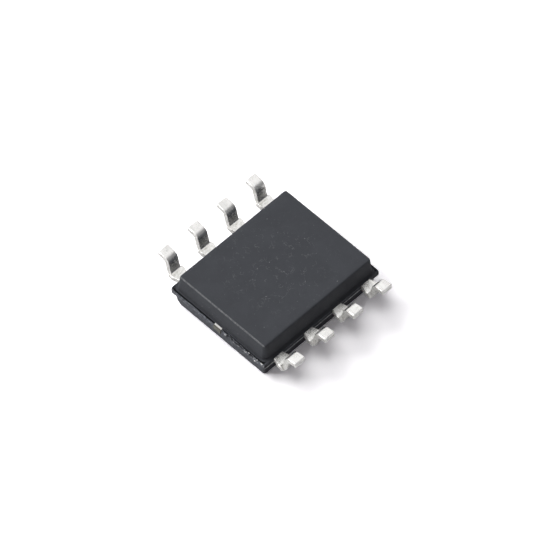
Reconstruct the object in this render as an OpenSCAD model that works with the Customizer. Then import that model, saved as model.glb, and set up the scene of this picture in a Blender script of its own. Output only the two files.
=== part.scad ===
// Eight-lead small-outline integrated circuit (SOIC-8, 1.27 mm pitch).
// The chip lies on its back: the marked face is down at z = 0, the underside faces up,
// and the leads rise to solder feet that stand a little above the underside.
// X runs along the body, Y across the two rows of leads, and the origin is the
// centre of the marked face.

/* [Moulding] */
// Length of the moulding at the parting line
body_l = 4.9; // [4.7:0.05:5.1]
// Width of the moulding at the parting line
body_w = 3.98; // [3.8:0.02:4.04]
// Height of the moulding from marked face to underside
body_h = 1.35; // [1.3:0.01:1.6]
// Height of the underside half, above the leads
underside_h = 0.635; // [0.56:0.005:0.7]
// Draft of the moulded sides, in degrees
draft_angle = 6.3; // [3:0.1:10]
// How far the underside half steps in from the marked half at the parting line
half_step = 0.06; // [0.02:0.01:0.1]
// How far the line of flash stands out from the marked half
flash_out = 0.07; // [0.03:0.01:0.1]
// Radius of the upright corners at the parting line
corner_r = 0.15; // [0.13:0.01:0.3]
// Leg of the bevel along the pin 1 side of the marked face
bevel = 0.22; // [0.1:0.01:0.3]
// Diameter of the pin 1 dimple
dimple_d = 0.6; // [0.4:0.05:0.8]
// Depth of the pin 1 dimple
dimple_depth = 0.05; // [0.03:0.01:0.1]
// Distance from the dimple's centre to the two edges beside it
dimple_inset = 0.8; // [0.7:0.05:1]

/* [Leads] */
// Distance between neighbouring leads
pitch = 1.27; // [1.2:0.01:1.3]
// Width of a lead
lead_w = 0.41; // [0.35:0.01:0.48]
// Thickness of the leadframe strip
lead_t = 0.19; // [0.17:0.01:0.23]
// Width of the shoulder, with the cut dam bar stubs
shoulder_w = 0.53; // [0.5:0.01:0.6]
// Straight length of the shoulder, from the flash to the lower bend
shoulder_l = 0.32; // [0.25:0.01:0.36]
// Length of the foot, from the upper bend to its end
foot_l = 0.21; // [0.15:0.01:0.4]
// Height of the solder feet above the underside
stand_off = 0.05; // [0.02:0.01:0.2]
// Slope of the riser, in degrees from the flat
riser_angle = 78; // [70:1:84]
// Inside radius of the lower bend
lower_bend_r = 0.05; // [0.03:0.01:0.1]
// Inside radius of the upper bend
upper_bend_r = 0.09; // [0.05:0.01:0.12]
// Radius of the rolled edge at the end of the foot
foot_edge_r = 0.06; // [0.03:0.01:0.09]
// Length of the taper from shoulder width to lead width, up the riser
stub_taper = 0.1; // [0.05:0.01:0.15]
// Distance from the flash to the stubs of the dam bar
dam_gap = 0.03; // [0.01:0.01:0.05]
// Length over which the lead widens from its root to the stubs
root_taper = 0.07; // [0.03:0.01:0.1]

/* [Inner leadframe] */
// Length of the die pad
pad_l = 2.5; // [2.2:0.05:2.6]
// Width of the die pad
pad_w = 1.9; // [1.7:0.05:2]
// Height that the die pad is set from the leads, towards the underside
pad_set = 0.12; // [0.06:0.01:0.16]
// Width of the tie bars
tie_w = 0.3; // [0.2:0.01:0.4]
// Length of the sloping joggle in a tie bar
tie_joggle = 0.25; // [0.2:0.01:0.35]
// How far the cut ends of the tie bars stand out from the flash
tie_proud = 0.02; // [0.01:0.01:0.05]
// Gap between the die pad and the inner ends of the leads
frame_gap = 0.2; // [0.15:0.01:0.25]
// Width of the bonding finger on a lead
finger_w = 0.42; // [0.36:0.01:0.5]
// Length of the bonding finger on the four middle leads
finger_l = 0.26; // [0.2:0.01:0.3]
// Distance from the tie bar to the finger of a corner lead
finger_tie_gap = 0.35; // [0.25:0.01:0.45]
// Width of the anchor on a lead
anchor_w = 0.62; // [0.55:0.01:0.66]
// Length of the anchor on a lead
anchor_l = 0.36; // [0.3:0.01:0.38]
// Cover of moulding between an anchor and the outside
anchor_cover = 0.13; // [0.1:0.01:0.2]
// Diameter of the locking hole in an anchor
anchor_hole_d = 0.22; // [0.15:0.01:0.26]

/* [Die and wires] */
// Length of the die
die_l = 1.4; // [1.2:0.05:1.8]
// Width of the die
die_w = 1.2; // [1:0.05:1.5]
// Thickness of the die
die_h = 0.28; // [0.2:0.01:0.3]
// Thickness of the die attach
attach_h = 0.025; // [0.015:0.005:0.04]
// How far the die attach reaches past the die
attach_margin = 0.04; // [0.02:0.01:0.08]
// Diameter of the bond wire
wire_d = 0.03; // [0.025:0.005:0.04]
// Depth of the wire loop past the face of the die
loop_h = 0.12; // [0.1:0.01:0.14]
// Diameter of the ball bond
ball_d = 0.08; // [0.07:0.005:0.1]
// Height of the ball bond
ball_h = 0.015; // [0.01:0.005:0.02]
// Distance from the nearest edge of the die to a bond
bond_inset = 0.1; // [0.08:0.01:0.14]
// Distance from the corner of the die to a bond, along that edge
bond_corner_gap = 0.3; // [0.2:0.01:0.4]
// Distance from the end of a finger to the wire's stitch
stitch_inset = 0.14; // [0.12:0.01:0.18]

/* [Hidden] */
$fn = 48;
row_leads = 4;
lead_count = 2 * row_leads;

// How far a cutting shape runs past what it cuts
cut_past = 1;

mold_black = "#4a4c50";
tin = "#d9d9d5";
copper = "#c98a5a";
epoxy_silver = "#b9b6ad";
silicon = "#5c6170";
gold = "#e2b64a";

// Heights of the leadframe strip, which lies in the parting line
lead_top = body_h - underside_h;
lead_low = lead_top - lead_t;
foot_top = body_h + stand_off;

// Half widths at the parting line: marked half, underside half and flash
marked_x = body_l / 2;
marked_y = body_w / 2;
under_x = marked_x - half_step;
under_y = marked_y - half_step;
flash_x = marked_x + flash_out;
flash_y = marked_y + flash_out;

// The outside of a lead, in the Y-Z plane
bend_start_y = flash_y + shoulder_l;
rise = foot_top - lead_top;
bend_drop = (lower_bend_r + upper_bend_r + lead_t) * (1 - cos(riser_angle));
riser_l = (rise - bend_drop) / sin(riser_angle);
lower_axis = [bend_start_y, lead_top + lower_bend_r];
stub_y = flash_y + dam_gap + root_taper;
upper_axis = lower_axis
    + (lower_bend_r + upper_bend_r + lead_t) * [sin(riser_angle), -cos(riser_angle)]
    + riser_l * [cos(riser_angle), sin(riser_angle)];
foot_y = upper_axis[0] + foot_l;
bend_steps = 10;

// The inside of the leadframe
finger_tip_y = pad_w / 2 + frame_gap;
anchor_y = under_y - anchor_cover - anchor_l / 2;
pad_low = lead_low + pad_set;

// The die hangs from the pad's marked side, and its bonds face the marked side too
attach_low = pad_low - attach_h;
die_low = attach_low - die_h;

// The wire's curve: its two control depths, as shares of the loop's depth, and how far
// along the run the second one lies
loop_start = 1.6;
loop_crest = 1.3;
loop_reach = 0.4;
loop_steps = 12;
wire_sides = 8;
// Flattest slope that the level cut at the end of a wire allows for
least_end_slope = 0.2;

// x of a lead counted along its row, and of a lead by its pin number
function row_x(i) = (i - (row_leads - 1) / 2) * pitch;
function is_corner(i) = i == 0 || i == row_leads - 1;
function row_turn(n) = n > row_leads ? 180 : 0;
function row_index(n) = (n - 1) % row_leads;

// Points of an arc in a plane
function arc(centre, r, from, to, steps) =
    [for (k = [0:steps]) centre + r * [cos(from + (to - from) * k / steps),
                                       sin(from + (to - from) * k / steps)]];

// Point of a cubic curve through the control points p
function curve(p, t) =
    pow(1 - t, 3) * p[0] + 3 * pow(1 - t, 2) * t * p[1]
    + 3 * (1 - t) * t * t * p[2] + pow(t, 3) * p[3];

function unit(v) = v / norm(v);

// ---------- moulded case ----------

// Block with drafted sides and round upright corners; half sizes x and y are at its foot
module drafted_block(x, y, h) {
    inset = h * tan(draft_angle);
    rotate([90, 0, 0])
        linear_extrude(2 * (y - corner_r), center = true)
            polygon([[-x, 0], [x, 0], [x - inset, h], [inset - x, h]]);
    rotate([90, 0, 90])
        linear_extrude(2 * (x - corner_r), center = true)
            polygon([[-y, 0], [y, 0], [y - inset, h], [inset - y, h]]);
    for (sx = [-1, 1], sy = [-1, 1])
        translate([sx * (x - corner_r), sy * (y - corner_r), 0])
            cylinder(h = h, r1 = corner_r, r2 = corner_r - inset);
}

module marked_half() {
    difference() {
        translate([0, 0, lead_low])
            mirror([0, 0, 1])
                drafted_block(marked_x, marked_y, lead_low);
        marked_bevel();
        pin_1_dimple();
    }
}

module marked_bevel() {
    inner_y = marked_y - lead_low * tan(draft_angle) - bevel;
    outer_y = inner_y + bevel;
    rotate([90, 0, 90])
        linear_extrude(body_l + 2 * cut_past, center = true)
            polygon([
                [inner_y - cut_past, -cut_past],
                [outer_y + cut_past, -cut_past],
                [outer_y + cut_past, bevel + cut_past]
            ]);
}

module pin_1_dimple() {
    translate([dimple_inset - marked_x, marked_y - dimple_inset, -cut_past])
        cylinder(d = dimple_d, h = cut_past + dimple_depth);
}

module underside_half() {
    translate([0, 0, lead_top])
        drafted_block(under_x, under_y, underside_h);
}

// Flash fills the parting line to the thickness of the leadframe
module flash_line() {
    translate([0, 0, lead_low])
        linear_extrude(lead_t) {
            square([2 * flash_x, 2 * (flash_y - corner_r)], center = true);
            square([2 * (flash_x - corner_r), 2 * flash_y], center = true);
            for (sx = [-1, 1], sy = [-1, 1])
                translate([sx * (flash_x - corner_r), sy * (flash_y - corner_r)])
                    circle(corner_r);
        }
}

module molded_case() {
    color(mold_black)
        difference() {
            union() {
                marked_half();
                flash_line();
                underside_half();
            }
            for (n = [1:lead_count]) {
                in_row(n) flat_lead(row_index(n));
                bond_wire_form(n);
            }
            die_pad_form();
            die_attach_form();
            silicon_die_form();
        }
}

// ---------- leads ----------

// Puts a shape made for the first row at the row of pin n
module in_row(n) {
    rotate([0, 0, row_turn(n)])
        children();
}

// Stamped outline of the flat part of a lead, seen from above
module lead_outline(i) {
    x = row_x(i);
    difference() {
        union() {
            translate([x, 0])
                dam_bar_stubs();
            translate([x, anchor_y])
                square([anchor_w, anchor_l], center = true);
            if (is_corner(i)) corner_finger(x);
            else middle_finger(x);
        }
        translate([x, anchor_y])
            circle(d = anchor_hole_d);
    }
}

module dam_bar_stubs() {
    root_y = flash_y + dam_gap;
    polygon([
        [-lead_w / 2, root_y],
        [lead_w / 2, root_y],
        [shoulder_w / 2, stub_y],
        [shoulder_w / 2, bend_start_y],
        [-shoulder_w / 2, bend_start_y],
        [-shoulder_w / 2, stub_y]
    ]);
}

module middle_finger(x) {
    translate([x - lead_w / 2, finger_tip_y])
        square([lead_w, bend_start_y - finger_tip_y]);
    translate([x - finger_w / 2, finger_tip_y])
        square([finger_w, finger_l]);
}

// The corner leads turn in beside the end of the die pad
module corner_finger(x) {
    side = sign(x);
    near = pad_l / 2 + frame_gap;
    far = near + finger_w;
    tip_y = tie_w / 2 + finger_tie_gap;
    stem = abs(x);
    turn_y = anchor_y - anchor_l / 2;
    elbow = stem + lead_w / 2 - far;
    scale([side, 1])
        polygon([
            [near, tip_y],
            [far, tip_y],
            [far, turn_y - elbow],
            [stem + lead_w / 2, turn_y],
            [stem + lead_w / 2, bend_start_y],
            [stem - lead_w / 2, bend_start_y],
            [stem - lead_w / 2, turn_y],
            [near, turn_y - elbow]
        ]);
}

module flat_lead(i) {
    translate([0, 0, lead_low])
        linear_extrude(lead_t)
            lead_outline(i);
}

// Side view of the formed lead, from the shoulder to the end of the foot
module formed_profile() {
    lower_out = lower_bend_r + lead_t;
    upper_out = upper_bend_r + lead_t;
    polygon(concat(
        [[stub_y, lead_low]],
        arc(lower_axis, lower_out, -90, riser_angle - 90, bend_steps),
        arc(upper_axis, upper_bend_r, riser_angle + 90, 90, bend_steps),
        [[foot_y, foot_top - lead_t]],
        arc([foot_y - foot_edge_r, foot_top - foot_edge_r], foot_edge_r, 0, 90, bend_steps / 2),
        arc(upper_axis, upper_out, 90, riser_angle + 90, bend_steps),
        arc(lower_axis, lower_bend_r, riser_angle - 90, -90, bend_steps),
        [[stub_y, lead_top]]
    ));
}

// Front view that narrows the strip from the dam bar stubs to the width of the lead
module front_outline() {
    taper_z = lead_top + lower_bend_r;
    polygon([
        [-shoulder_w / 2, 0],
        [shoulder_w / 2, 0],
        [shoulder_w / 2, taper_z],
        [lead_w / 2, taper_z + stub_taper],
        [lead_w / 2, foot_top + lead_t],
        [-lead_w / 2, foot_top + lead_t],
        [-lead_w / 2, taper_z + stub_taper],
        [-shoulder_w / 2, taper_z]
    ]);
}

module formed_lead() {
    intersection() {
        rotate([90, 0, 90])
            linear_extrude(shoulder_w, center = true)
                formed_profile();
        rotate([90, 0, 0])
            mirror([0, 0, 1])
                linear_extrude(foot_y + cut_past)
                    front_outline();
    }
}

module lead(n) {
    i = row_index(n);
    color(tin)
        in_row(n) {
            flat_lead(i);
            translate([row_x(i), 0, 0])
                formed_lead();
        }
}

// ---------- die pad, die attach and die ----------

// Side view of a tie bar: out from the pad, down the joggle and out through the end face
module tie_bar_profile() {
    slope_x = pad_l / 2;
    flat_x = slope_x + tie_joggle;
    end_x = flash_x + tie_proud;
    polygon([
        [0, pad_low],
        [slope_x, pad_low],
        [flat_x, lead_low],
        [end_x, lead_low],
        [end_x, lead_top],
        [flat_x, lead_top],
        [slope_x, pad_low + lead_t],
        [0, pad_low + lead_t]
    ]);
}

module die_pad_form() {
    translate([0, 0, pad_low + lead_t / 2])
        cube([pad_l, pad_w, lead_t], center = true);
    for (turn = [0, 180])
        rotate([90, 0, turn])
            linear_extrude(tie_w, center = true)
                tie_bar_profile();
}

module die_attach_form() {
    translate([0, 0, attach_low + attach_h / 2])
        cube([die_l + 2 * attach_margin, die_w + 2 * attach_margin, attach_h], center = true);
}

module silicon_die_form() {
    translate([0, 0, die_low + die_h / 2])
        cube([die_l, die_w, die_h], center = true);
}

module die_pad() {
    color(copper) die_pad_form();
}

module die_attach() {
    color(epoxy_silver) die_attach_form();
}

module silicon_die() {
    color(silicon) silicon_die_form();
}

// ---------- bond wires ----------

// Where the wire of lead i of the first row starts on the die and ends on its finger
function die_bond(i) =
    is_corner(i)
    ? [sign(row_x(i)) * (die_l / 2 - bond_inset), die_w / 2 - bond_corner_gap]
    : [sign(row_x(i)) * (die_l / 2 - bond_corner_gap), die_w / 2 - bond_inset];
function stitch(i) =
    is_corner(i)
    ? [sign(row_x(i)) * (pad_l / 2 + frame_gap + finger_w / 2),
       tie_w / 2 + finger_tie_gap + stitch_inset]
    : [row_x(i), finger_tip_y + stitch_inset];

// The loop in its own upright plane: out from the ball, over, and back to the finger
function loop_points(run, climb) = [
    for (k = [0:loop_steps])
        curve([[0, -ball_h], [0, -loop_start * loop_h],
               [loop_reach * run, -loop_crest * loop_h], [run, climb]],
              k / loop_steps)
];

// Direction across the wire in the loop's plane: level at both ends, mitred between
function across(p, k) =
    let (last = len(p) - 1,
         back = unit(p[max(k, 1)] - p[max(k, 1) - 1]),
         ahead = unit(p[min(k, last - 1) + 1] - p[min(k, last - 1)]),
         mid = unit(back + ahead))
    k == 0 || k == last
    ? [sign(ahead[1]), 0] / max(abs(ahead[1]), least_end_slope)
    : [mid[1], -mid[0]] / (mid * back);

// Ring of radius r round a point of the loop's plane, cut along the direction w
function ring(at, w, r) = [
    for (s = [0:wire_sides - 1])
        let (turn = 360 * s / wire_sides, reach = r * cos(turn))
        [at[0] + reach * w[0], r * sin(turn), at[1] + reach * w[1]]
];

// The squashed ball narrows to the wire, which is swept along the points p
module ball_and_wire(p) {
    ball = [for (z = [0, -ball_h / 2]) ring([0, z], [-1, 0], ball_d / 2)];
    wire = [for (k = [0:len(p) - 1]) ring(p[k], across(p, k), wire_d / 2)];
    rings = concat(ball, wire);
    last = len(rings) - 1;
    around = [for (s = [0:wire_sides - 1]) s];
    walls = [for (k = [0:last - 1], s = around)
        let (a = k * wire_sides, next = (s + 1) % wire_sides)
        [a + s, a + s + wire_sides, a + next + wire_sides, a + next]];
    polyhedron(
        points = [for (r = rings) each r],
        faces = concat([around], walls,
                       [[for (s = around) (last + 1) * wire_sides - 1 - s]])
    );
}

module bond_wire_form(n) {
    i = row_index(n);
    from = die_bond(i);
    run = stitch(i) - from;
    in_row(n)
        translate([from[0], from[1], die_low])
            rotate([0, 0, atan2(run[1], run[0])])
                ball_and_wire(loop_points(norm(run), lead_low - die_low));
}

module bond_wire(n) {
    color(gold) bond_wire_form(n);
}

molded_case();
die_pad();
die_attach();
silicon_die();
for (n = [1:lead_count]) {
    lead(n);
    bond_wire(n);
}
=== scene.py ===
"""Dresses an eight-lead small-outline chip, lying on its back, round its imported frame.

The scene is in metres, in the frame of the chip: the marked face is down at z = 0, X runs
along the body and Y across the two rows of leads. Sizes with the suffix _mm, the places
read from the frame and the points that materials work on are millimetres.
"""

import math

import bmesh
import bpy
from bpy.props import FloatProperty, FloatVectorProperty, IntProperty, PointerProperty
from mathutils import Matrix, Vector, noise


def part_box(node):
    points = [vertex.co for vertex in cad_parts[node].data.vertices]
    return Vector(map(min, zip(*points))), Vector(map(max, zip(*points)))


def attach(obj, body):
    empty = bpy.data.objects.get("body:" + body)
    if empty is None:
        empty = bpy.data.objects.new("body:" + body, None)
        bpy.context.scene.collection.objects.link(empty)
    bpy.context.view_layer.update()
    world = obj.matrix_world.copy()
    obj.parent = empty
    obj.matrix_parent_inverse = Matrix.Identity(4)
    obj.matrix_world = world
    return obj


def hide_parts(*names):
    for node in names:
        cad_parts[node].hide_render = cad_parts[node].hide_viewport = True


bl_info = {
    "name": "Small-outline chip",
    "version": (1, 0, 0),
    "blender": (4, 5, 0),
    "location": "3D View > Sidebar > Chip",
    "description": "Moulded case, formed leads and studio for a small-outline chip",
    "category": "Add Mesh",
}

MM = 0.001
LEAD_NAMES = [f"lead_{n}" for n in range(1, 9)]
WIRE_NAMES = [f"bond_wire_{n}" for n in range(1, 9)]

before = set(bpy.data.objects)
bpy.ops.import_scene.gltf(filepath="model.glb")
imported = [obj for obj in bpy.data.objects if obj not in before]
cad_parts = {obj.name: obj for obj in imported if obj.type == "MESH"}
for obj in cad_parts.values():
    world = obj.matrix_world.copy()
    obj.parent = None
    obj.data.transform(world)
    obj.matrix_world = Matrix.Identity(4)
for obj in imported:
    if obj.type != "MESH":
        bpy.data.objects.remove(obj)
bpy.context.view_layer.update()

# Half the case's length and width over the flash, and its height
CASE_X, CASE_Y, CASE_Z = (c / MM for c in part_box("molded_case")[1])
LEAD_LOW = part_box("lead_1")[0].z / MM
FOOT_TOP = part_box("lead_1")[1].z / MM
FOOT_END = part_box("lead_1")[1].y / MM
STRIP = (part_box("die_pad")[1].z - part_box("die_attach")[1].z) / MM
LEAD_TOP = LEAD_LOW + STRIP
TIE_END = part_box("die_pad")[1].x / MM


# ---------- settings ----------


class MouldingSettings(bpy.types.PropertyGroup):
    """Sizes and colours of the moulded case"""

    draft: FloatProperty(
        name="Draft",
        description="Slope of the moulded sides",
        default=math.radians(6.3),
        subtype="ANGLE",
    )
    flash_mm: FloatProperty(
        name="Flash", description="How far the flash stands out, in mm", default=0.07
    )
    half_step_mm: FloatProperty(
        name="Half Step", description="Step between the two mould halves, in mm", default=0.06
    )
    corner_mm: FloatProperty(
        name="Corner", description="Radius of the upright corners, in mm", default=0.15
    )
    edge_mm: FloatProperty(
        name="Edge", description="Radius of the underside's edge, in mm", default=0.045
    )
    low_edge_mm: FloatProperty(
        name="Low Edge", description="Radius of the marked face's edge, in mm", default=0.03
    )
    groove_mm: FloatProperty(
        name="Groove", description="Depth of the groove beside the flash, in mm", default=0.075
    )
    bevel_mm: FloatProperty(
        name="Bevel", description="Leg of the bevel beside lead 1, in mm", default=0.22
    )
    dimple_mm: FloatProperty(
        name="Dimple", description="Diameter of the dimple, in mm", default=0.6
    )
    dimple_depth_mm: FloatProperty(
        name="Dimple Depth", description="Depth of the dimple, in mm", default=0.05
    )
    dimple_inset_mm: FloatProperty(
        name="Dimple Inset",
        description="Distance from the dimple to the two edges, in mm",
        default=0.8,
    )
    colour: FloatVectorProperty(
        name="Compound",
        description="Colour of the moulding compound",
        default=(0.049, 0.052, 0.059),
        subtype="COLOR",
    )
    speck: FloatVectorProperty(
        name="Specks",
        description="Colour of the filler specks",
        default=(0.34, 0.35, 0.35),
        subtype="COLOR",
    )


class LeadSettings(bpy.types.PropertyGroup):
    """Sizes and colours of the formed leads"""

    per_row: IntProperty(name="Leads per Row", description="Leads on each side", default=4)
    pitch_mm: FloatProperty(
        name="Pitch", description="Distance between leads, in mm", default=1.27
    )
    width_mm: FloatProperty(name="Width", description="Width of a lead, in mm", default=0.41)
    shoulder_mm: FloatProperty(
        name="Shoulder Width", description="Width over the dam bar stubs, in mm", default=0.53
    )
    shoulder_length_mm: FloatProperty(
        name="Shoulder Length",
        description="From the flash to the lower bend, in mm",
        default=0.32,
    )
    stub_start_mm: FloatProperty(
        name="Stub Start", description="From the flash to the full stubs, in mm", default=0.23
    )
    stub_end: FloatProperty(
        name="Stub End",
        description="Turn of the lower bend where the stubs stop",
        default=math.radians(38),
        subtype="ANGLE",
    )
    slope: FloatProperty(
        name="Riser Slope",
        description="Slope of the riser",
        default=math.radians(78),
        subtype="ANGLE",
    )
    lower_bend_mm: FloatProperty(
        name="Lower Bend", description="Inside radius, in mm", default=0.05
    )
    upper_bend_mm: FloatProperty(
        name="Upper Bend", description="Inside radius, in mm", default=0.09
    )
    foot_edge_mm: FloatProperty(
        name="Foot Edge", description="Radius of the foot's edge, in mm", default=0.035
    )
    lean: FloatProperty(
        name="Lean",
        description="How far the foot rises to its toe",
        default=math.radians(8),
        subtype="ANGLE",
    )
    sag_mm: FloatProperty(
        name="Sag",
        description="How far the toe stays under the frame's top, in mm",
        default=0.025,
    )
    edge_mm: FloatProperty(
        name="Edge", description="Radius of the stamped edges, in mm", default=0.02
    )
    colour: FloatVectorProperty(
        name="Plate",
        description="Colour of the tin plate",
        default=(0.95, 0.94, 0.92),
        subtype="COLOR",
    )


class StageSettings(bpy.types.PropertyGroup):
    """Lights, floor and camera"""

    key_power: FloatProperty(
        name="Key", description="Power of the broad key light, in watts", default=0.95
    )
    rim_power: FloatProperty(
        name="Rim", description="Power of the light that edges catch, in watts", default=0.35
    )
    sky: FloatProperty(name="Sky", description="Strength of the even light", default=0.2)
    lens_mm: FloatProperty(name="Lens", description="Focal length, in mm", default=387.2)
    azimuth: FloatProperty(
        name="Azimuth",
        description="Camera's way round the chip",
        default=math.radians(-45),
        subtype="ANGLE",
    )
    elevation: FloatProperty(
        name="Elevation",
        description="Camera's height over the floor",
        default=math.radians(55.42),
        subtype="ANGLE",
    )
    distance_mm: FloatProperty(
        name="Distance", description="From camera to target, in mm", default=182.6
    )
    target_mm: FloatProperty(name="Target", description="Height of the target, in mm", default=0.75)


# ---------- node helpers ----------


def add_node(tree, kind, inputs=None, **props):
    """A node with its properties set and its inputs set or linked, by name or place."""
    made = tree.nodes.new(kind)
    for key, value in props.items():
        setattr(made, key, value)
    for key, value in (inputs or {}).items():
        if isinstance(value, bpy.types.NodeSocket):
            tree.links.new(value, made.inputs[key])
        else:
            made.inputs[key].default_value = value
    return made


def math_node(tree, operation, a, b=0.0):
    return add_node(tree, "ShaderNodeMath", {0: a, 1: b}, operation=operation).outputs[0]


def product(tree, a, b):
    return math_node(tree, "MULTIPLY", a, b)


def vector_product(tree, a, b):
    node = add_node(tree, "ShaderNodeVectorMath", {0: a, 1: b}, operation="MULTIPLY")
    return node.outputs[0]


def split_axes(tree, point):
    return add_node(tree, "ShaderNodeSeparateXYZ", {0: point}).outputs


def span(tree, value, low, high, to_low=0.0, to_high=1.0):
    """value from low..high, smoothly to to_low..to_high."""
    made = add_node(
        tree,
        "ShaderNodeMapRange",
        {"Value": value, 1: low, 2: high, 3: to_low, 4: to_high},
        interpolation_type="SMOOTHSTEP",
    )
    return made.outputs[0]


def between(tree, value, rise, fall):
    """1 where value is past the rise and not yet at the fall; both are (start, end)."""
    return product(tree, span(tree, value, *rise), span(tree, value, *fall, 1.0, 0.0))


def blend_colour(tree, factor, a, b):
    made = add_node(tree, "ShaderNodeMix", data_type="RGBA", clamp_factor=True)
    sockets = {s.identifier: s for s in made.inputs}
    pairs = (("Factor_Float", factor), ("A_Color", a), ("B_Color", b))
    for key, value in pairs:
        if isinstance(value, bpy.types.NodeSocket):
            tree.links.new(value, sockets[key])
        elif key == "Factor_Float":
            sockets[key].default_value = value
        else:
            sockets[key].default_value = (*value[:3], 1.0)
    return [s for s in made.outputs if s.identifier == "Result_Color"][0]


def shade(colour, share):
    return [c * share for c in colour]


def new_group(name, ins, outs):
    """A shader node group that takes a point in mm and floats, and gives floats."""
    tree = bpy.data.node_groups.new(name, "ShaderNodeTree")
    new = tree.interface.new_socket
    new("Point", in_out="INPUT", socket_type="NodeSocketVector")
    for key, value in ins.items():
        new(key, in_out="INPUT", socket_type="NodeSocketFloat").default_value = value
    for key in outs:
        new(key, in_out="OUTPUT", socket_type="NodeSocketFloat")
    source, result = tree.nodes.new("NodeGroupInput"), tree.nodes.new("NodeGroupOutput")
    return tree, source.outputs, result.inputs


def noise_at(tree, point, scale, detail=3.0, roughness=0.55):
    made = add_node(
        tree,
        "ShaderNodeTexNoise",
        {"Vector": point, "Scale": scale, "Detail": detail, "Roughness": roughness},
    )
    return made.outputs["Fac"]


def speckle_group():
    """Sparse round specks: one cell in so many holds a speck of the given radius."""
    sizes = {"Spacing": 0.1, "Radius": 0.02, "Share": 0.3}
    tree, source, result = new_group("Specks", sizes, ["Mask"])
    scale = math_node(tree, "DIVIDE", 1.0, source["Spacing"])
    cells = add_node(tree, "ShaderNodeTexVoronoi", {"Vector": source["Point"], "Scale": scale})
    reach = product(tree, cells.outputs["Distance"], source["Spacing"])
    near = math_node(tree, "LESS_THAN", math_node(tree, "DIVIDE", reach, source["Radius"]), 1.0)
    split = add_node(tree, "ShaderNodeSeparateColor", {"Color": cells.outputs["Color"]})
    chosen = math_node(tree, "LESS_THAN", split.outputs[0], source["Share"])
    strength = span(tree, split.outputs[1], 0.0, 1.0, 0.25, 1.0)
    mask = product(tree, product(tree, near, chosen), strength)
    tree.links.new(mask, result["Mask"])
    return tree


def grain_group():
    """Grain of two sizes and slow mottling, each about 0.5."""
    sizes = {"Fine": 0.03, "Coarse": 0.12, "Patch": 0.9}
    tree, source, result = new_group("Grain", sizes, ["Height", "Mottle"])
    scales = {key: math_node(tree, "DIVIDE", 1.0, source[key]) for key in sizes}
    fine = noise_at(tree, source["Point"], scales["Fine"])
    coarse = noise_at(tree, source["Point"], scales["Coarse"])
    patch = noise_at(tree, source["Point"], scales["Patch"], 5.0, 0.6)
    height = math_node(tree, "ADD", product(tree, fine, 0.6), product(tree, coarse, 0.4))
    tree.links.new(height, result["Height"])
    tree.links.new(patch, result["Mottle"])
    return tree


def place_group(tree, name, build, point, values):
    """A use of the shared group of that name, which is built at its first use."""
    made = tree.nodes.new("ShaderNodeGroup")
    made.node_tree = bpy.data.node_groups.get(name) or build()
    tree.links.new(point, made.inputs["Point"])
    for key, value in values.items():
        made.inputs[key].default_value = value
    return made.outputs


def grain_at(tree, point, fine, coarse, patch):
    values = {"Fine": fine, "Coarse": coarse, "Patch": patch}
    return place_group(tree, "Grain", grain_group, point, values)


def specks_at(tree, point, spacing, radius, share):
    values = {"Spacing": spacing, "Radius": radius, "Share": share}
    return place_group(tree, "Specks", speckle_group, point, values)["Mask"]


def attribute(tree, name):
    return add_node(tree, "ShaderNodeAttribute", attribute_name=name).outputs["Fac"]


def start_material(name):
    """A material, its Principled shader and the point in mm on the piece."""
    material = bpy.data.materials.new(name)
    material.use_nodes = True
    tree = material.node_tree
    shader = tree.nodes["Principled BSDF"]
    coords = tree.nodes.new("ShaderNodeTexCoord").outputs["Object"]
    return material, tree, shader, vector_product(tree, coords, (1 / MM, 1 / MM, 1 / MM))


def add_bump(tree, shader, height, depth_mm):
    relief = {"Strength": 1.0, "Distance": depth_mm * MM, "Height": height}
    bump = add_node(tree, "ShaderNodeBump", relief)
    tree.links.new(bump.outputs[0], shader.inputs["Normal"])


# ---------- materials ----------

# Where most values of a noise lie
NOISE_RANGE = (0.3, 0.7)

COMPOUND_GLOSS = 0.22
COMPOUND_ROUGHNESS = (0.58, 0.74)
CRUMB_COLOUR = (0.9, 0.9, 0.88)
MARK_SHARE, PIN_SHARE, SPECK_SHARE = 0.2, 0.22, 0.35
# Shares of the painted shade on the long sides and of the painted highlight along the end faces'
# top edges
SHADED_SHARE, PAINTED_EDGE_HIGHLIGHT_SHARE = 0.45, 0.42

STAIN, STAIN_SHARE = (0.33, 0.325, 0.27), 0.28
# Painted shade on the risers: darker and olive
RISER_SHADE_COLOUR, RISER_SHADE_SHARE = (0.62, 0.6, 0.5), 0.3
TOOL_MARK, TOOL_SHARE = (0.36, 0.35, 0.31), 0.35
CUT_DARK, CUT_LIGHT = (0.6, 0.59, 0.56), (0.92, 0.91, 0.88)
CUT_METALLIC, CUT_ROUGHER = 0.5, 0.28

COPPER_DARK, COPPER_LIGHT = (0.55, 0.33, 0.22), (0.78, 0.5, 0.35)
# Near-white of the painted highlight on the tie bars outside the case
PAINTED_GLINT_DARK, PAINTED_GLINT_LIGHT = (0.72, 0.7, 0.66), (0.95, 0.94, 0.92)
TIE_CUT_DARK, TIE_CUT_LIGHT = (0.06, 0.06, 0.045), (0.16, 0.155, 0.12)


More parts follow.
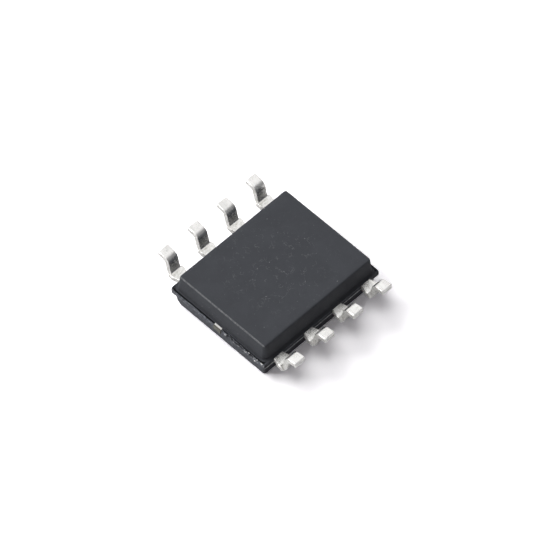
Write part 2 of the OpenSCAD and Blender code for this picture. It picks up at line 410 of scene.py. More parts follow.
def compound_material(settings):
    """Charcoal moulding compound, with the torn tone, painted light, painted highlight and painted
    shade that the case's attributes place.
    """
    material, tree, shader, point = start_material("moulding_compound")
    plain, speck = settings.colour, settings.speck
    grain = grain_at(tree, point, fine=0.028, coarse=0.1, patch=0.8)
    mottle = span(tree, grain["Mottle"], *NOISE_RANGE)
    colour = blend_colour(tree, mottle, shade(plain, 0.94), shade(plain, 1.07))
    colour = add_marks(tree, point, colour, speck)
    colour = add_side_tones(tree, point, grain["Height"], colour, settings)
    # Torn tone: the torn flash at the ends, and painted light where the marked half's ends are made
    # lighter.
    torn = attribute(tree, "torn")
    torn_and_painted_light_colour = torn_and_painted_light_tones(tree, point, grain["Height"], torn, settings)
    colour = blend_colour(tree, torn, colour, torn_and_painted_light_colour)
    # Painted highlight: a patchy light line along the top edges of the two end faces, in the speck
    # colour.
    patchy = span(tree, grain["Height"], 0.4, 0.6, 0.25, 1.0)
    painted_edge_highlight = product(tree, product(tree, attribute(tree, "painted_edge_highlight"), patchy), PAINTED_EDGE_HIGHLIGHT_SHARE)
    colour = blend_colour(tree, painted_edge_highlight, colour, speck)
    # Painted shade: the groove beside the flash is darkened to a fifth of the compound's colour.
    colour = blend_colour(tree, attribute(tree, "groove"), colour, shade(plain, 0.2))
    tree.links.new(colour, shader.inputs["Base Color"])

    roughness = span(tree, grain["Height"], *NOISE_RANGE, *COMPOUND_ROUGHNESS)
    tree.links.new(roughness, shader.inputs["Roughness"])
    shader.inputs["Specular IOR Level"].default_value = COMPOUND_GLOSS
    lift = math_node(tree, "ADD", 0.35, product(tree, torn, 1.6))
    add_bump(tree, shader, product(tree, grain["Height"], lift), 0.012)
    return material


def add_marks(tree, point, colour, speck):
    """Short wandering scratches and pin specks, mostly near the middle, and sparse specks."""
    flat = vector_product(tree, point, (1.0, 1.0, 0.0))
    reach = add_node(tree, "ShaderNodeVectorMath", {0: flat}, operation="LENGTH")
    middle = span(tree, reach.outputs["Value"], 0.8, 2.1, 1.0, 0.15)
    wander = math_node(tree, "SUBTRACT", noise_at(tree, point, 4.2, 2.0), 0.5)
    lines = span(tree, math_node(tree, "ABSOLUTE", wander), 0.0, 0.016, 1.0, 0.0)
    pieces = span(tree, noise_at(tree, point, 3.7, 2.0), 0.5, 0.58)
    marks = product(tree, product(tree, lines, pieces), middle)
    pins = product(tree, specks_at(tree, point, spacing=0.085, radius=0.016, share=0.3), middle)
    sparse = specks_at(tree, point, spacing=0.14, radius=0.018, share=0.16)
    for mask, share in ((marks, MARK_SHARE), (pins, PIN_SHARE), (sparse, SPECK_SHARE)):
        colour = blend_colour(tree, product(tree, mask, share), colour, speck)
    return colour


def add_side_tones(tree, point, grain, colour, settings):
    """Painted shade on the marked half's long sides below the flash, and a painted highlight along
    the flash's lower rim.
    """
    axes = split_axes(tree, point)
    out, up = math_node(tree, "ABSOLUTE", axes[1]), axes[2]
    # Painted shade: the marked half's long sides are darkened below the flash.
    shaded = between(tree, up, (0.0, 0.02), (LEAD_TOP - 0.055, LEAD_TOP - 0.015))
    shaded = product(tree, shaded, span(tree, out, CASE_Y - 0.31, CASE_Y - 0.24))
    shaded = product(tree, shaded, SHADED_SHARE)
    colour = blend_colour(tree, shaded, colour, shade(settings.colour, 0.3))
    # Painted highlight: a patchy light line along the flash's lower rim, twice as light as the
    # specks.
    rim = between(tree, up, (LEAD_LOW, LEAD_LOW + 0.01), (LEAD_LOW + 0.04, LEAD_LOW + 0.055))
    rim = product(tree, rim, span(tree, out, CASE_Y - 0.04, CASE_Y - 0.03))
    painted_rim_highlight = product(tree, rim, span(tree, grain, 0.4, 0.55, 0.3, 1.0))
    return blend_colour(tree, painted_rim_highlight, colour, shade(settings.speck, 2.0))


def torn_and_painted_light_tones(tree, point, grain, torn, settings):
    """Broken compound: light and dark grain, filler flecks and a few bright crumbs; the light
    grain, far lighter than the compound, is in part painted light.
    """
    dark, light = shade(settings.colour, 0.7), shade(settings.colour, 4.4)
    tone = blend_colour(tree, span(tree, grain, 0.4, 0.62), dark, light)
    flecks = specks_at(tree, point, spacing=0.06, radius=0.021, share=0.34)
    tone = blend_colour(tree, flecks, tone, settings.speck)
    crumbs = specks_at(tree, point, spacing=0.09, radius=0.036, share=0.3)
    loose = product(tree, crumbs, span(tree, torn, 0.75, 1.0))
    return blend_colour(tree, loose, tone, CRUMB_COLOUR)


def plate_material(settings):
    """Matt tin plate, streaked and stained by the forming tools, rougher where it is sheared."""
    material, tree, shader, point = start_material("tin_plate")
    plain = settings.colour
    grain = grain_at(tree, point, fine=0.03, coarse=0.09, patch=0.3)
    streaks = noise_at(tree, vector_product(tree, point, (1.0, 0.16, 0.16)), 26.0, 4.0, 0.6)
    tone = blend_colour(tree, span(tree, grain["Mottle"], 0.35, 0.62), shade(plain, 0.86), plain)
    tone = blend_colour(tree, span(tree, streaks, 0.52, 0.7, 0.0, 0.45), tone, shade(plain, 0.6))

    up = split_axes(tree, point)[2]
    shoulder = span(tree, up, LEAD_TOP + 0.02, LEAD_TOP + 0.12, 1.0, 0.0)
    stain = product(tree, span(tree, noise_at(tree, point, 11.0, 4.0, 0.7), 0.44, 0.6), shoulder)
    # Painted shade: the risers are darkened towards olive between these heights.
    riser_start, riser_end = (LEAD_TOP + 0.025, LEAD_TOP + 0.145), (FOOT_TOP - 0.3, FOOT_TOP - 0.1)
    riser_shade = between(tree, up, riser_start, riser_end)
    marks = specks_at(tree, point, spacing=0.12, radius=0.03, share=0.16)
    for mask, share, tint in (
        (stain, STAIN_SHARE, STAIN),
        (riser_shade, RISER_SHADE_SHARE, RISER_SHADE_COLOUR),
        (marks, TOOL_SHARE, TOOL_MARK),
    ):
        tone = blend_colour(tree, product(tree, mask, share), tone, tint)
    sheared = attribute(tree, "sheared")
    cut_tone = blend_colour(tree, span(tree, grain["Height"], 0.4, 0.6), CUT_DARK, CUT_LIGHT)
    tone = blend_colour(tree, sheared, tone, cut_tone)
    tree.links.new(tone, shader.inputs["Base Color"])

    metallic = span(tree, sheared, 0.0, 1.0, 1.0, CUT_METALLIC)
    tree.links.new(metallic, shader.inputs["Metallic"])
    smooth = span(tree, grain["Mottle"], 0.25, 0.75, 0.2, 0.34)
    roughness = math_node(tree, "ADD", smooth, product(tree, sheared, CUT_ROUGHER))
    tree.links.new(roughness, shader.inputs["Roughness"])
    height = math_node(tree, "ADD", grain["Height"], product(tree, streaks, 0.5))
    add_bump(tree, shader, height, 0.006)
    return material


def plain_material(name, colour, metallic, roughness, coarse, depth_mm, spread=0.25):
    """An inner piece's finish: one colour with grain that varies it."""
    material, tree, shader, point = start_material(name)
    grain = grain_at(tree, point, fine=coarse * 0.3, coarse=coarse, patch=coarse * 5)
    mottle = span(tree, grain["Mottle"], *NOISE_RANGE)
    tone = blend_colour(tree, mottle, shade(colour, 1 - spread), colour)
    tree.links.new(tone, shader.inputs["Base Color"])
    shader.inputs["Metallic"].default_value = metallic
    rough = span(tree, grain["Height"], *NOISE_RANGE, roughness - 0.06, roughness + 0.08)
    tree.links.new(rough, shader.inputs["Roughness"])
    add_bump(tree, shader, grain["Height"], depth_mm)
    return material


def tie_bar_material():
    """Copper alloy in the case, with a painted highlight where a tie bar passes its wall, dark at
    the cut end.
    """
    material, tree, shader, point = start_material("leadframe_metal")
    grain = grain_at(tree, point, fine=0.02, coarse=0.07, patch=0.3)
    reach = math_node(tree, "ABSOLUTE", split_axes(tree, point)[0])
    outside = span(tree, reach, CASE_X - 0.1, CASE_X - 0.09)
    end = span(tree, reach, TIE_END - 0.04, TIE_END - 0.03)
    mottle = span(tree, grain["Mottle"], *NOISE_RANGE)
    height = span(tree, grain["Height"], *NOISE_RANGE)
    copper = blend_colour(tree, mottle, COPPER_DARK, COPPER_LIGHT)
    # Painted highlight: outside the wall the tie bar is near-white and mostly not metallic, save
    # its dark cut end.
    bright = blend_colour(tree, height, PAINTED_GLINT_DARK, PAINTED_GLINT_LIGHT)
    sheared = blend_colour(tree, height, TIE_CUT_DARK, TIE_CUT_LIGHT)
    metal = blend_colour(tree, outside, copper, bright)
    tree.links.new(blend_colour(tree, end, metal, sheared), shader.inputs["Base Color"])
    metallic = math_node(tree, "SUBTRACT", 1.0, product(tree, outside, 0.75))
    tree.links.new(metallic, shader.inputs["Metallic"])
    shader.inputs["Roughness"].default_value = 0.38
    add_bump(tree, shader, grain["Height"], 0.006)
    return material


def dress(obj, material):
    obj.data.materials.clear()
    obj.data.materials.append(material)


# ---------- mesh helpers ----------

SMOOTH_CASE, SMOOTH_LEADS, SMOOTH_FINGERS = 35.0, 40.0, 30.0


def link_object(name, data):
    made = bpy.data.objects.new(name, data)
    bpy.context.scene.collection.objects.link(made)
    return made


def mesh_object(name, vertices, faces, material, smooth_angle=SMOOTH_CASE):
    mesh = bpy.data.meshes.new(name)
    mesh.from_pydata(vertices, [], faces)
    mesh.validate()
    made = link_object(name, mesh)
    mesh.materials.append(material)
    smooth_by_angle(mesh, smooth_angle)
    return made


def smooth_by_angle(mesh, degrees):
    """Smooth shading that keeps edges sharper than the angle."""
    work = bmesh.new()
    work.from_mesh(mesh)
    limit = math.radians(degrees)
    for face in work.faces:
        face.smooth = True
    for edge in work.edges:
        edge.smooth = not (len(edge.link_faces) == 2 and edge.calc_face_angle(0.0) > limit)
    work.to_mesh(mesh)
    work.free()


def apply_modifiers(obj):
    graph = bpy.context.evaluated_depsgraph_get()
    done = bpy.data.meshes.new_from_object(obj.evaluated_get(graph))
    obj.modifiers.clear()
    obj.data = done


def set_attribute(mesh, name, values):
    layer = mesh.attributes.new(name, "FLOAT", "POINT")
    for item, value in zip(layer.data, values):
        item.value = value


def rings_to_faces(rows, count):
    """Quads between rows of rings that each have count points."""
    faces = []
    for row in range(rows - 1):
        base = row * count
        for k in range(count):
            nxt = (k + 1) % count
            faces.append((base + k, base + nxt, base + count + nxt, base + count + k))
    return faces


# ---------- moulded case ----------

SIDE_STEP_MM = 0.035
CELLS_X = round(2 * CASE_X / SIDE_STEP_MM)
CELLS_Y = round(2 * CASE_Y / SIDE_STEP_MM)
CORNER_STEPS = 7
MIN_RADIUS_MM = 0.05
EDGE_TURNS = tuple(math.radians(turn) for turn in (0, 22, 45, 67, 90))

# The flash's faces lie inside the leads' faces by the skin, and the cover lifts the
# compound beside it over the flat leads
SKIN_MM = 0.012
COVER_MM = 0.024
ROUGH_SCALE = (14.0, 14.0, 7.0)

# How far from the case's end faces the flash is torn, and how far from its corners it is whole
TORN_END_MM = 0.2
WHOLE_CORNER_MM = 0.4
COARSE_SCALE, CHIP_SCALE, FINE_SCALE = 2.3, 5.0, 11.0


def outline(half_x, half_y, radius):
    """Points and outward directions round a rectangle with round corners, in mm."""
    points = []
    sides = [((1, 0), (0, 1)), ((0, 1), (-1, 0)), ((-1, 0), (0, -1)), ((0, -1), (1, 0))]
    for out, along in sides:
        reach = half_x if out[0] else half_y
        length = (half_y if out[0] else half_x) - radius
        steps = CELLS_X if out[1] else CELLS_Y
        for k in range(steps):
            t = length * (2 * k / steps - 1)
            points.append((out[0] * reach + along[0] * t, out[1] * reach + along[1] * t, *out))
        corner = (
            out[0] * (half_x - radius) + along[0] * length,
            out[1] * (half_y - radius) + along[1] * length,
        )
        for k in range(CORNER_STEPS):
            turn = 0.5 * math.pi * k / CORNER_STEPS
            dx = out[0] * math.cos(turn) + along[0] * math.sin(turn)
            dy = out[1] * math.cos(turn) + along[1] * math.sin(turn)
            points.append((corner[0] + radius * dx, corner[1] + radius * dy, dx, dy))
    return points


def noise_on_plan(x, y, scale, layer):
    return noise.noise(Vector((x * scale, y * scale, layer)))


def torn_edge(x, y, level):
    """How far the flash is broken back at a place on the parting line, 0 to 1."""
    if abs(x) < CASE_X - TORN_END_MM:
        return 0.04 + 0.06 * noise_on_plan(x, y, CHIP_SCALE, 4.0 + level)
    coarse = noise_on_plan(x, y, COARSE_SCALE, 4.0)
    fine = noise_on_plan(x, y, FINE_SCALE, 9.0 + level)
    chips = max(0.0, noise_on_plan(x, y, CHIP_SCALE, 17.0) - 0.08) * 2.4
    from_corner = min(1.0, 3.0 * max(0.0, CASE_Y - WHOLE_CORNER_MM - abs(y)))
    rough_half = 1.0 if x * y > 0.0 else 0.22
    torn = min(1.0, max(0.0, 0.14 + 0.3 * coarse + 0.5 * fine + chips))
    return from_corner * rough_half * torn


def case_rings(settings):
    """Rings of points up the case, from the marked face to the underside, in mm."""
    flash = settings.flash_mm
    marked = (CASE_X - flash, CASE_Y - flash)
    under = (marked[0] - settings.half_step_mm, marked[1] - settings.half_step_mm)
    lean = math.tan(settings.draft)
    edge, low_edge, depth = settings.edge_mm, settings.low_edge_mm, settings.groove_mm
    bevel_start = marked[1] - LEAD_LOW * lean - settings.bevel_mm
    rings = []

    def add(half, z, inset, bevelled=False, rough_z=0.0, wear=0.0, sunk=0.0, lid=""):
        """One ring; wear tears it back, sunk deepens it at the ends, lid lifts it to the cover."""
        ring = []
        radius = settings.corner_mm - inset * (1.0 if inset >= 0 else -1.1)
        for x, y, dx, dy in outline(half[0] - inset, half[1] - inset, max(radius, MIN_RADIUS_MM)):
            back = wear * flash * torn_edge(x, y, z * 3.0)
            x, y = x - dx * back, y - dy * back
            if bevelled:
                y = min(y, bevel_start + max(z, 0.0))
            place = Vector([c * scale for c, scale in zip((x, y, z), ROUGH_SCALE)])
            rise = rough_z * noise.noise(place) * (0.2 + 0.8 * dx * dx)
            if lid:
                rise += COVER_MM * (1.0 if lid == "all round" else dy * dy)
            ring.append((x, y, z + rise - sunk * dx * dx))
        rings.append(ring)

    # Marked half: face, round edge and drafted sides
    add(marked, 0.0, lean * LEAD_LOW + 3 * low_edge, True)
    for turn in EDGE_TURNS:
        z = low_edge * (1 - math.cos(turn))
        add(marked, z, lean * (LEAD_LOW - z) + low_edge * (1 - math.sin(turn)), True)
    for share in (0.25, 0.5, 0.75, 0.93):
        z = low_edge + (LEAD_LOW - low_edge) * share
        add(marked, z, lean * (LEAD_LOW - z), True)

    # Flash: lower face, torn rim and upper face
    base, lid = LEAD_LOW + SKIN_MM, LEAD_TOP - SKIN_MM
    add(marked, base - 0.004, 0.0)
    add(marked, base, -0.35 * flash, rough_z=0.01, wear=0.4)
    for share in (0.0, 0.2, 0.45, 0.7, 0.9):
        z = base + (lid - base) * (0.05 + 0.9 * share)
        add(marked, z, -flash + 0.004, rough_z=0.006, wear=0.9)
    add(marked, lid - 0.003, -flash + 0.012, rough_z=0.01, wear=0.75, lid="long sides")
    add(marked, lid, -flash * 0.6, rough_z=0.012, wear=0.5, lid="long sides")

    # Groove at the ends, and the cover that climbs out of it to the underside half
    groove = {"sunk": depth, "lid": "long sides"}
    add(marked, lid - 0.002, -flash * 0.52, rough_z=0.012, wear=0.3, **groove)
    add(marked, lid - 0.004, flash * 0.1, rough_z=0.008, **groove)
    add(marked, lid - 0.004, flash * 0.16, rough_z=0.004, lid="all round")
    add(under, lid - 0.002, -0.008, lid="all round")
    add(under, lid + 0.02, 0.004, lid="long sides")

    # Underside half: drafted sides, round edge and face
    for share in (0.1, 0.4, 0.7):
        z = LEAD_TOP + (CASE_Z - edge - LEAD_TOP) * share
        add(under, z, lean * (z - LEAD_TOP))
    for turn in EDGE_TURNS:
        z = CASE_Z - edge * (1 - math.sin(turn))
        add(under, z, lean * (z - LEAD_TOP) + edge * (1 - math.cos(turn)))
    add(under, CASE_Z, lean * (CASE_Z - LEAD_TOP) + 3 * edge)
    return rings


def torn_and_painted_light_share(x, y, z):
    """How much torn tone a place takes: the flash at the two ends most; the marked half's ends
    less, which is painted light.
    """
    out = abs(x) - CASE_X
    if out < -0.16 or z > LEAD_TOP - 0.004:
        return 0.0
    # Painted light: the marked half's ends take part of the lighter torn tone.
    if z < LEAD_LOW:
        return 0.42
    if out > -0.045:
        return 1.0 if x * y > 0.0 else 0.72
    return 1.0 if x * y > 0.0 and abs(y) < CASE_Y - 0.25 and out > -0.11 else 0.0


def build_case(settings, material):
    rings = case_rings(settings)
    count = len(rings[0])
    vertices = [(x * MM, y * MM, z * MM) for ring in rings for x, y, z in ring]
    faces = rings_to_faces(len(rings), count)
    faces.append(tuple(reversed(range(count))))
    faces.append(tuple(range((len(rings) - 1) * count, len(rings) * count)))
    case = mesh_object("moulding", vertices, faces, material)
    cut_dimple(case, settings)

    mesh = case.data
    places = [tuple(c / MM for c in vertex.co) for vertex in mesh.vertices]
    top_x = max(x for x, _, z in places if z > CASE_Z - 0.02)

    # Points in the groove beside the flash, which the compound darkens as painted shade
    def in_groove(x, z):
        return -0.11 < abs(x) - CASE_X < -0.02 and LEAD_LOW + 0.06 < z < LEAD_TOP - 0.03

    # Points of the painted highlight along the top edges of the two end faces
    def at_end_edge(x, z):
        return z > CASE_Z - 0.035 and top_x - 0.022 < abs(x) < top_x + 0.02

    # The torn tone's share, which on the marked half's ends is painted light.
    set_attribute(mesh, "torn", [torn_and_painted_light_share(*place) for place in places])
    set_attribute(mesh, "groove", [float(in_groove(x, z)) for x, _, z in places])
    set_attribute(mesh, "painted_edge_highlight", [float(at_end_edge(x, z)) for x, _, z in places])
    return case


def cut_dimple(case, settings):
    """Cuts the round dimple beside lead 1 into the marked face."""
    inset, radius = settings.dimple_inset_mm + settings.flash_mm, settings.dimple_mm / 2
    work = bmesh.new()
    bmesh.ops.create_cone(
        work,
        cap_ends=True,
        segments=48,
        radius1=radius * MM,
        radius2=0.94 * radius * MM,
        depth=2 * settings.dimple_depth_mm * MM,
    )
    centre = ((inset - CASE_X) * MM, (CASE_Y - inset) * MM, 0.0)
    bmesh.ops.translate(work, verts=work.verts, vec=centre)
    mesh = bpy.data.meshes.new("dimple_cutter")
    work.to_mesh(mesh)
    work.free()
    cutter = link_object("dimple_cutter", mesh)
    cut = case.modifiers.new("dimple", "BOOLEAN")
    cut.operation, cut.solver, cut.object = "DIFFERENCE", "EXACT", cutter
    apply_modifiers(case)
    bpy.data.objects.remove(cutter)
    smooth_by_angle(case.data, SMOOTH_CASE)


# ---------- leads ----------

BEND_STEPS = 14
ROOT_MM, ROOT_SLIMMER_MM, FINGER_LAP_MM = 0.28, 0.03, 0.01
TOE_STEPS, TOE_EDGE_MM = 5, 0.018
SKEW_DEGREES = 0.5

# Points of the strip's section that bound the flats of its two sheared sides
SIDE_POINTS = (0, 7, 8, 15)


def lead_path(settings):
    """Stations along a lead: middle of the strip in Y-Z, direction and width, in mm."""
    half = STRIP / 2
    mid_z = LEAD_TOP - half
    bend_y = CASE_Y + settings.shoulder_length_mm
    stub_y = CASE_Y + settings.stub_start_mm
    wide, slim = settings.shoulder_mm, settings.width_mm
    low_r, up_r = settings.lower_bend_mm + half, settings.upper_bend_mm + half
    slope, lean = settings.slope, settings.lean
    low_axis = (bend_y, mid_z + low_r)

    # The crest's height depends on how far the leaning foot rises, and that on the crest
    toe_rise = 0.0
    for _ in range(4):
        crest_z = FOOT_TOP - settings.sag_mm - half - toe_rise
        run = (crest_z - mid_z - (low_r + up_r) * (1 - math.cos(slope))) / math.sin(slope)
        across = (low_r + up_r) * math.sin(slope) + run * math.cos(slope)
        up_axis = (low_axis[0] + across, crest_z - up_r)
        flat = FOOT_END - up_axis[0] + (up_r - half) * math.sin(lean)
        toe_rise = flat * math.tan(lean) - up_r * (1 - math.cos(lean))

    stations = []
    for y, width in (
        (CASE_Y - ROOT_MM, slim),
        (CASE_Y - 0.05, slim - ROOT_SLIMMER_MM),
        (CASE_Y + 0.015, slim - ROOT_SLIMMER_MM),
        (stub_y - 0.02, wide - 0.02),
        (stub_y, wide),
        ((stub_y + bend_y) / 2, wide),
    ):
        stations.append((y, mid_z, 0.0, width))
    for k in range(BEND_STEPS + 1):
        turn = slope * k / BEND_STEPS
        y, z = low_axis[0] + low_r * math.sin(turn), low_axis[1] - low_r * math.cos(turn)
        stations.append((y, z, turn, wide if turn < settings.stub_end else slim))
    start_y, start_z = stations[-1][:2]
    for share in (0.2, 0.4, 0.6, 0.8):
        y, z = start_y + run * share * math.cos(slope), start_z + run * share * math.sin(slope)
        stations.append((y, z, slope, slim))
    for k in range(BEND_STEPS + 1):
        turn = slope + (lean - slope) * k / BEND_STEPS
        y, z = up_axis[0] - up_r * math.sin(turn), up_axis[1] + up_r * math.cos(turn)
        stations.append((y, z, turn, slim))
    return stations


def strip_section(half_w, half_up, half_down, edge):
    """Cross-section of the strip: across and up, with round stamped edges."""
    points = []
    corners = (
        (half_w, half_up, 0),
        (-half_w, half_up, 90),
        (-half_w, -half_down, 180),
        (half_w, -half_down, 270),
    )
    for x, z, start in corners:
        cx = x - math.copysign(edge, x)
        cz = z - math.copysign(edge, z)
        for k in range(4):
            turn = math.radians(start + 30 * k)
            points.append((cx + edge * math.cos(turn), cz + edge * math.sin(turn)))
    return points


def build_lead_blank(settings, material):
    """The outer part of one lead, at x = 0 on the row in front of +Y."""
    half = STRIP / 2
    stations = lead_path(settings)
    rows = []
    for y, z, turn, width in stations:
        rows.append((y, z, turn, strip_section(width / 2, half, half, settings.edge_mm)))

    heel_y, heel_z, lean, width = stations[-1]
    toe = (FOOT_END - half * math.sin(lean) - heel_y) / math.cos(lean)
    roll = settings.foot_edge_mm
    edge = min(settings.edge_mm, TOE_EDGE_MM)
    for k in range(TOE_STEPS + 1):
        turn = 0.5 * math.pi * k / TOE_STEPS
        drop = roll * (1 - math.cos(turn))
        along = toe - roll * (1 - math.sin(turn))
        y, z = heel_y + along * math.cos(lean), heel_z + along * math.sin(lean)
        section = strip_section(width / 2 - 0.35 * drop, half - drop, half - 0.6 * drop, edge)
        rows.append((y, z, lean, section))

    vertices = []
    for y, z, turn, section in rows:
        for across, up in section:
            place = (across, y - up * math.sin(turn), z + up * math.cos(turn))
            vertices.append([c * MM for c in place])
    count = len(rows[0][3])
    faces = rings_to_faces(len(rows), count)
    faces.append(tuple(range(count)))
    faces.append(tuple(reversed(range((len(rows) - 1) * count, len(rows) * count))))
    blank = mesh_object("formed_leads", vertices, faces, material, SMOOTH_LEADS)
    sheared = [float(k % count in SIDE_POINTS) for k in range(len(vertices))]
    set_attribute(blank.data, "sheared", sheared)
    recalculate(blank)
    return blank


def recalculate(obj):
    work = bmesh.new()
    work.from_mesh(obj.data)
    bmesh.ops.recalc_face_normals(work, faces=work.faces)
    work.to_mesh(obj.data)
    work.free()


def row_tree():
    """Geometry nodes that set a lead along two rows that face away from each other."""
    tree = bpy.data.node_groups.new("Lead Rows", "GeometryNodeTree")
    new = tree.interface.new_socket
    new("Geometry", in_out="INPUT", socket_type="NodeSocketGeometry")
    new("Leads per Row", in_out="INPUT", socket_type="NodeSocketInt")
    new("Pitch", in_out="INPUT", socket_type="NodeSocketFloat")
    new("Skew", in_out="INPUT", socket_type="NodeSocketFloat")
    new("Material", in_out="INPUT", socket_type="NodeSocketMaterial")
    new("Geometry", in_out="OUTPUT", socket_type="NodeSocketGeometry")
    source = tree.nodes.new("NodeGroupInput").outputs
    result = tree.nodes.new("NodeGroupOutput").inputs

    gaps = math_node(tree, "SUBTRACT", source["Leads per Row"], 1.0)
    start = product(tree, product(tree, gaps, source["Pitch"]), -0.5)
    first = add_node(tree, "ShaderNodeCombineXYZ", {"X": start}).outputs[0]
    step = add_node(tree, "ShaderNodeCombineXYZ", {"X": source["Pitch"]}).outputs[0]
    line = add_node(
        tree,
        "GeometryNodeMeshLine",
        {"Count": source["Leads per Row"], "Start Location": first, "Offset": step},
        mode="OFFSET",
    )
    both = add_node(tree, "GeometryNodeJoinGeometry")
    least = product(tree, source["Skew"], -1.0)
    for seed, turn in ((3, 0.0), (8, math.pi)):
        skew = add_node(
            tree,
            "FunctionNodeRandomValue",
            {2: least, 3: source["Skew"], "Seed": seed},
            data_type="FLOAT",
        )
        tilt = add_node(tree, "ShaderNodeCombineXYZ", {"Z": skew.outputs[1]})
        row = add_node(
            tree,
            "GeometryNodeInstanceOnPoints",
            {
                "Points": line.outputs[0],
                "Instance": source["Geometry"],
                "Rotation": tilt.outputs[0],
            },
        )
        placing = {"Geometry": row.outputs[0], "Rotation": (0.0, 0.0, turn)}
        turned = add_node(tree, "GeometryNodeTransform", placing)
        tree.links.new(turned.outputs[0], both.inputs[0])
    real = add_node(tree, "GeometryNodeRealizeInstances", {0: both.outputs[0]})
    finish = {"Geometry": real.outputs[0], "Material": source["Material"]}
    tree.links.new(add_node(tree, "GeometryNodeSetMaterial", finish).outputs[0], result[0])
    return tree


def build_leads(settings, material):
    leads = build_lead_blank(settings, material)
    rows = leads.modifiers.new("rows", "NODES")
    rows.node_group = row_tree()
    values = {
        "Leads per Row": settings.per_row,
        "Pitch": settings.pitch_mm * MM,
        "Skew": math.radians(SKEW_DEGREES),
        "Material": material,
    }
    for item in rows.node_group.interface.items_tree:
        if item.in_out == "INPUT" and item.name in values:
            rows[item.identifier] = values[item.name]
    apply_modifiers(leads)
    smooth_by_angle(leads.data, SMOOTH_LEADS)
    return leads


def build_fingers(material):
    """The parts of the leads that the case holds, from the frame's own solids."""
    cut_y = (CASE_Y - ROOT_MM + FINGER_LAP_MM) * MM
    work = bmesh.new()
    for name in LEAD_NAMES:
        work.from_mesh(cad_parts[name].data)
    bmesh.ops.remove_doubles(work, verts=work.verts, dist=1e-7)
    for side in (1, -1):
        cut = bmesh.ops.bisect_plane(
            work,
            geom=work.verts[:] + work.edges[:] + work.faces[:],
            dist=1e-8,
            plane_co=(0, side * cut_y, 0),
            plane_no=(0, side, 0),
            clear_outer=True,
        )
        rim = [e for e in cut["geom_cut"] if isinstance(e, bmesh.types.BMEdge)]
        bmesh.ops.holes_fill(work, edges=rim, sides=0)
    bmesh.ops.recalc_face_normals(work, faces=work.faces)
    mesh = bpy.data.meshes.new("bonding_fingers")
    work.to_mesh(mesh)
    work.free()
    mesh.materials.append(material)
    smooth_by_angle(mesh, SMOOTH_FINGERS)
    return link_object("bonding_fingers", mesh)


# ---------- stage ----------

FLOOR_HALF_MM, FLOOR_GAP_MM = 400.0, 0.002
FLOOR_LIT, FLOOR_MIRRORED, FLOOR_SEEN = (0.8, 0.8, 0.81), (0.86, 0.86, 0.87), (1.6, 1.585, 1.61)
KEY_SIZE_MM, KEY_PLACE_MM = 277.0, (-61.0, 168.0, 160.6)
RIM_SIZE_MM, RIM_PLACE_MM = 110.0, (-180.0, 95.0, 120.0)
AIM_MM = (0.0, 0.0, 0.5)
EVEN_LIGHT, WHITE, ROOM = (0.985, 0.955, 1.0, 1.0), (1.0, 1.0, 1.0, 1.0), (0.97, 0.98, 1.0, 1.0)
ROOM_STRENGTH, ROOM_WAY = 0.25, (0.3, -0.95, 0.0)
SENSOR_MM, SENSOR_SHIFT = 36.0, (-0.0003, 0.0069)


def mirrored_ray(tree, path):
    return math_node(tree, "MAXIMUM", path["Is Glossy Ray"], path["Is Transmission Ray"])


def floor_material():
    """White floor that keeps the chip's shadow and shows as white behind it."""
    material = bpy.data.materials.new("floor")
    material.use_nodes = True
    tree = material.node_tree
    tree.nodes.remove(tree.nodes["Principled BSDF"])
    path = tree.nodes.new("ShaderNodeLightPath").outputs
    tone = blend_colour(tree, mirrored_ray(tree, path), FLOOR_LIT, FLOOR_MIRRORED)
    tone = blend_colour(tree, path["Is Camera Ray"], tone, FLOOR_SEEN)
    white = add_node(tree, "ShaderNodeBsdfDiffuse", {"Color": tone})
    tree.links.new(white.outputs[0], tree.nodes["Material Output"].inputs["Surface"])
    return material


def build_floor():
    half, below = FLOOR_HALF_MM * MM, -FLOOR_GAP_MM * MM
    corners = [(x * half, y * half, below) for x, y in ((-1, -1), (1, -1), (1, 1), (-1, 1))]
    floor = mesh_object("floor", corners, [(0, 1, 2, 3)], floor_material())


def build_world(strength):
    """Even light on the chip, a darker room for its metal to mirror, and white behind it."""
    world = bpy.data.worlds.new("studio")
    bpy.context.scene.world = world
    world.use_nodes = True
    tree = world.node_tree
    tree.nodes.clear()

    def background(colour, level):
        node = add_node(tree, "ShaderNodeBackground", {"Color": colour, "Strength": level})
        return node.outputs[0]

    def mix(factor, a, b):
        return add_node(tree, "ShaderNodeMixShader", {0: factor, 1: a, 2: b}).outputs[0]

    path = tree.nodes.new("ShaderNodeLightPath").outputs
    sight = tree.nodes.new("ShaderNodeTexCoord").outputs["Generated"]
    way = add_node(tree, "ShaderNodeVectorMath", {0: sight, 1: ROOM_WAY}, operation="DOT_PRODUCT")
    to_room = span(tree, way.outputs["Value"], 0.35, 0.75)
    bright = background(WHITE, 1.0)
    around = mix(to_room, bright, background(ROOM, ROOM_STRENGTH))
    unseen = mix(mirrored_ray(tree, path), background(EVEN_LIGHT, strength), around)
    output = tree.nodes.new("ShaderNodeOutputWorld")
    tree.links.new(mix(path["Is Camera Ray"], unseen, bright), output.inputs["Surface"])


def face_way(obj, way):
    obj.rotation_mode = "QUATERNION"
    obj.rotation_quaternion = way.to_track_quat("-Z", "Y")


def add_area(name, power, size_mm, place_mm):
    lamp = bpy.data.lights.new(name, "AREA")
    lamp.energy = power
    lamp.size = size_mm * MM
    made = link_object(name, lamp)
    made.location = Vector(place_mm) * MM
    face_way(made, Vector(AIM_MM) - Vector(place_mm))
    return made


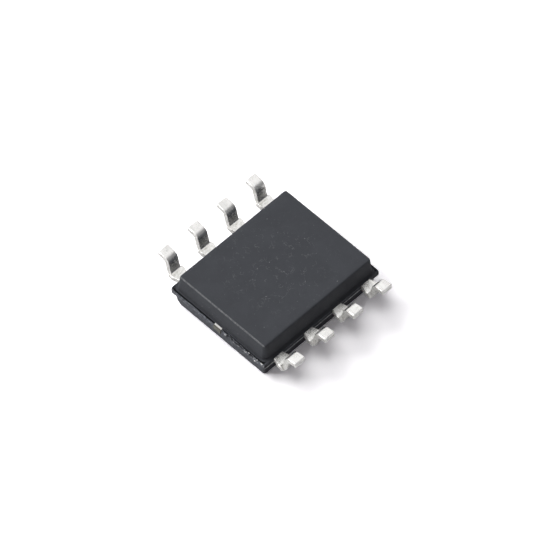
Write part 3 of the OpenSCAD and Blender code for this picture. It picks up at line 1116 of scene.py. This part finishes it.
def build_camera(settings):
    cam = bpy.data.cameras.new("camera")
    cam.lens = settings.lens_mm
    cam.sensor_width = SENSOR_MM
    cam.clip_start, cam.clip_end = 0.01, 10.0
    cam.shift_x, cam.shift_y = SENSOR_SHIFT
    made = link_object("camera", cam)
    a, e = settings.azimuth, settings.elevation
    back = Vector((math.sin(a) * math.cos(e), -math.cos(a) * math.cos(e), math.sin(e)))
    target = Vector((0, 0, settings.target_mm * MM))
    made.location = target + back * settings.distance_mm * MM
    face_way(made, -back)
    bpy.context.scene.camera = made


# ---------- operators ----------


class CHIP_OT_moulding(bpy.types.Operator):
    """Moulds the case with its flash, bevel and dimple"""

    bl_idname = "chip.moulding"
    bl_label = "Mould the Case"

    def execute(self, context):
        settings = context.scene.chip_moulding
        case = build_case(settings, compound_material(settings))
        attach(case, "root")
        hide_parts("molded_case")
        return {"FINISHED"}


class CHIP_OT_leads(bpy.types.Operator):
    """Forms the two rows of leads and the fingers inside the case"""

    bl_idname = "chip.leads"
    bl_label = "Form the Leads"

    def execute(self, context):
        settings = context.scene.chip_leads
        plate = plate_material(settings)
        leads = build_leads(settings, plate)
        fingers = build_fingers(plate)
        for piece in (leads, fingers):
            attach(piece, "root")
        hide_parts(*LEAD_NAMES)
        return {"FINISHED"}


class CHIP_OT_inside(bpy.types.Operator):
    """Finishes the die pad, the die, its glue and the bond wires"""

    bl_idname = "chip.inside"
    bl_label = "Finish the Inside"

    def execute(self, context):
        pad = tie_bar_material()
        glue = plain_material("silver_epoxy", (0.6, 0.59, 0.56), 0.4, 0.45, 0.05, 0.006)
        silicon = plain_material("silicon", (0.16, 0.18, 0.22), 0.3, 0.18, 0.2, 0.001, 0.1)
        gold = plain_material("gold_wire", (0.94, 0.68, 0.26), 1.0, 0.2, 0.03, 0.0005, 0.08)
        finishes = {"die_pad": pad, "die_attach": glue, "silicon_die": silicon}
        finishes.update((name, gold) for name in WIRE_NAMES)
        for name, material in finishes.items():
            dress(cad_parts[name], material)
        return {"FINISHED"}


class CHIP_OT_stage(bpy.types.Operator):
    """Sets the floor, the lights and the camera"""

    bl_idname = "chip.stage"
    bl_label = "Set the Stage"

    def execute(self, context):
        settings = context.scene.chip_stage
        build_floor()
        build_world(settings.sky)
        key = add_area("key", settings.key_power, KEY_SIZE_MM, KEY_PLACE_MM)
        key.visible_glossy = False
        rim = add_area("rim", settings.rim_power, RIM_SIZE_MM, RIM_PLACE_MM)
        rim.visible_diffuse = False
        build_camera(settings)
        context.scene.view_settings.view_transform = "Standard"
        return {"FINISHED"}


class CHIP_PT_panel(bpy.types.Panel):
    """Lists the steps that dress the chip"""

    bl_idname = "CHIP_PT_panel"
    bl_label = "Chip"
    bl_space_type = "VIEW_3D"
    bl_region_type = "UI"
    bl_category = "Chip"

    def draw(self, context):
        for operator in OPERATORS:
            self.layout.operator(operator.bl_idname)


OPERATORS = (CHIP_OT_moulding, CHIP_OT_leads, CHIP_OT_inside, CHIP_OT_stage)
SETTINGS = {
    "chip_moulding": MouldingSettings,
    "chip_leads": LeadSettings,
    "chip_stage": StageSettings,
}


def register():
    for cls in (*SETTINGS.values(), *OPERATORS, CHIP_PT_panel):
        bpy.utils.register_class(cls)
    for name, cls in SETTINGS.items():
        setattr(bpy.types.Scene, name, PointerProperty(type=cls))


def unregister():
    for name in SETTINGS:
        delattr(bpy.types.Scene, name)
    for cls in (CHIP_PT_panel, *reversed(OPERATORS), *SETTINGS.values()):
        bpy.utils.unregister_class(cls)


def main():
    register()
    bpy.ops.chip.moulding()
    bpy.ops.chip.leads()
    bpy.ops.chip.inside()
    bpy.ops.chip.stage()


if __name__ == "__main__":
    main()
